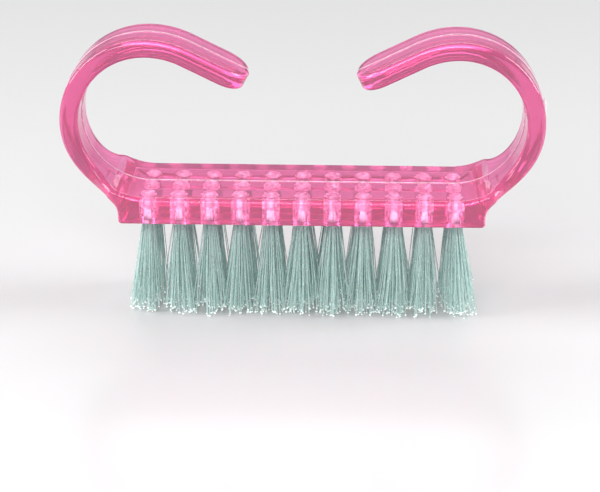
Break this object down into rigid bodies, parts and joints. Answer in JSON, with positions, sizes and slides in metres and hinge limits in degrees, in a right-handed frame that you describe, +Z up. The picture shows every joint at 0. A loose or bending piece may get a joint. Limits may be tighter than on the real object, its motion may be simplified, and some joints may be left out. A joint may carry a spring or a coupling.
{
  "type": "nail brush",
  "caption": "Small nail scrubbing brush: a translucent moulded bar set with bristle tufts, with a curled finger hook rising from each end and turning back over it.",
  "frame": {"origin": "middle of the plane of the bristle tips, where the brush stands", "axes": "+Z up, from the bristles to the hooks; X along the brush, from hook to hook; Y across it"},
  "size_m": [0.065, 0.0144, 0.0388],
  "materials": {
    "handle_plastic": "clear pink tinted moulded plastic, glossy",
    "bristle_nylon": "pale mint nylon filament",
    "anchor_wire": "flat tinned wire"
  },
  "bodies": {
    "root": {"handle_body": "handle_plastic", "tuft_front_01": "bristle_nylon", "tuft_front_02": "bristle_nylon", "tuft_front_03": "bristle_nylon", "tuft_front_04": "bristle_nylon", "tuft_front_05": "bristle_nylon", "tuft_front_06": "bristle_nylon", "tuft_front_07": "bristle_nylon", "tuft_front_08": "bristle_nylon", "tuft_front_09": "bristle_nylon", "tuft_front_10": "bristle_nylon", "tuft_front_11": "bristle_nylon", "tuft_middle_01": "bristle_nylon", "tuft_middle_02": "bristle_nylon", "tuft_middle_03": "bristle_nylon", "tuft_middle_04": "bristle_nylon", "tuft_middle_05": "bristle_nylon", "tuft_middle_06": "bristle_nylon", "tuft_middle_07": "bristle_nylon", "tuft_middle_08": "bristle_nylon", "tuft_middle_09": "bristle_nylon", "tuft_middle_10": "bristle_nylon", "tuft_middle_11": "bristle_nylon", "tuft_back_01": "bristle_nylon", "tuft_back_02": "bristle_nylon", "tuft_back_03": "bristle_nylon", "tuft_back_04": "bristle_nylon", "tuft_back_05": "bristle_nylon", "tuft_back_06": "bristle_nylon", "tuft_back_07": "bristle_nylon", "tuft_back_08": "bristle_nylon", "tuft_back_09": "bristle_nylon", "tuft_back_10": "bristle_nylon", "tuft_back_11": "bristle_nylon", "anchor_wires_front": "anchor_wire", "anchor_wires_middle": "anchor_wire", "anchor_wires_back": "anchor_wire"}
  },
  "joints": []
}
